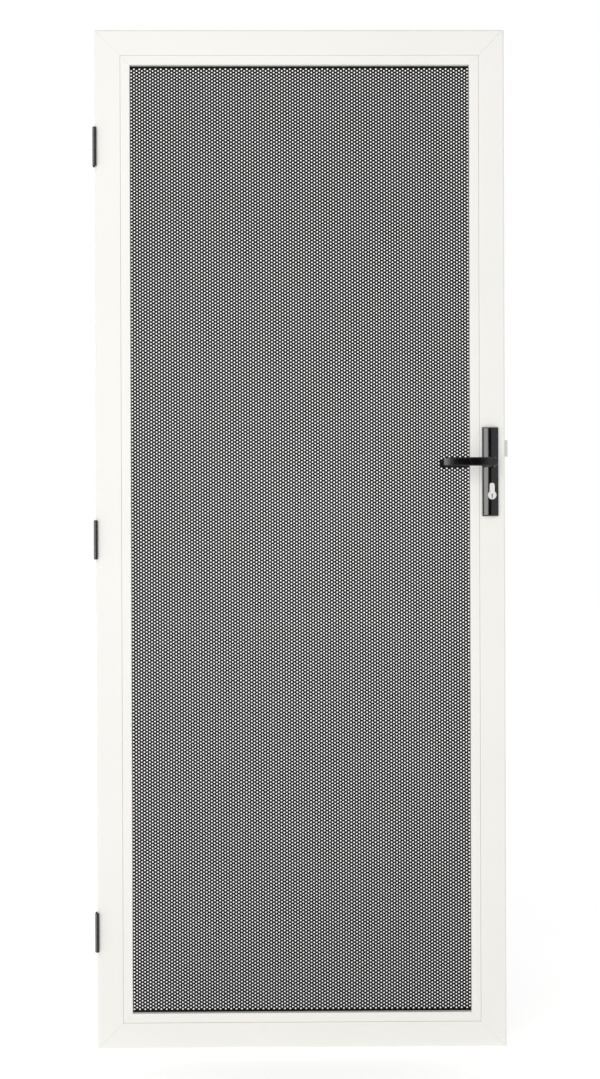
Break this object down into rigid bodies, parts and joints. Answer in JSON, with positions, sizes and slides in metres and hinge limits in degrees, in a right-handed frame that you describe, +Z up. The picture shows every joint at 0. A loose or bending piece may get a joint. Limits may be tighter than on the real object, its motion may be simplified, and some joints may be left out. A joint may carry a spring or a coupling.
{
  "type": "security screen door",
  "caption": "Hinged steel security screen door: mitred white frame with snap-in beads, black perforated sheet, butt hinges, and a lever lock with latch and key cylinder.",
  "frame": {"origin": "middle of the door's height and thickness on the jamb side of the middle hinge", "axes": "+X from the hinges to the lock, +Y from the outside of the door to the inside, +Z up"},
  "size_m": [0.8304, 0.114, 2.04],
  "materials": {
    "frame_powder_coat": "satin off-white powder coat",
    "sheet_powder_coat": "matt black powder coat",
    "hinge_black": "satin black",
    "lock_black": "satin black",
    "cylinder_nickel": "satin nickel",
    "lock_steel": "bright zinc plate"
  },
  "bodies": {
    "jamb_hinges": {"top_hinge_jamb_half": "hinge_black", "middle_hinge_jamb_half": "hinge_black", "bottom_hinge_jamb_half": "hinge_black", "top_hinge_pin": "hinge_black", "middle_hinge_pin": "hinge_black", "bottom_hinge_pin": "hinge_black"},
    "door_leaf": {"hinge_stile": "frame_powder_coat", "lock_stile": "frame_powder_coat", "top_rail": "frame_powder_coat", "bottom_rail": "frame_powder_coat", "hinge_side_bead": "frame_powder_coat", "lock_side_bead": "frame_powder_coat", "top_bead": "frame_powder_coat", "bottom_bead": "frame_powder_coat", "perforated_sheet": "sheet_powder_coat", "top_hinge_door_half": "hinge_black", "middle_hinge_door_half": "hinge_black", "bottom_hinge_door_half": "hinge_black", "outer_lock_plate": "lock_black", "inner_lock_plate": "lock_black", "cylinder_body": "cylinder_nickel", "lock_forend": "lock_steel", "lock_case": "lock_steel"},
    "lever_handles": {"outer_lever": "lock_black", "inner_lever": "lock_black", "spindle": "lock_steel"},
    "latch": {"latch_bolt": "lock_steel"},
    "outer_plug": {"outer_key_plug": "cylinder_nickel"},
    "inner_plug": {"inner_key_plug": "cylinder_nickel"}
  },
  "joints": [
    {"name": "door_swing", "type": "hinge", "parent": "jamb_hinges", "child": "door_leaf", "pos_m": [0.0044, -0.0146, 0], "axis": [0, 0, -1], "range_deg": [0, 170]},
    {"name": "lever_turn", "type": "hinge", "parent": "door_leaf", "child": "lever_handles", "pos_m": [0.7974, 0, 0.153], "axis": [0, -1, 0], "range_deg": [0, 40], "stiffness_Nm_per_rad": 0.6, "springref_deg": -34.38},
    {"name": "latch_slide", "type": "slide", "parent": "door_leaf", "child": "latch", "axis": [-1, 0, 0], "range_m": [0, 0.006]},
    {"name": "outer_key_turn", "type": "hinge", "parent": "door_leaf", "child": "outer_plug", "pos_m": [0.7974, 0, 0.087], "axis": [0, 1, 0], "continuous": true},
    {"name": "inner_key_turn", "type": "hinge", "parent": "door_leaf", "child": "inner_plug", "pos_m": [0.7974, 0, 0.087], "axis": [0, 1, 0], "continuous": true}
  ],
  "couplings": [
    {"joint": "latch_slide", "follows": "lever_turn", "m_per_rad": 0.0085}
  ]
}
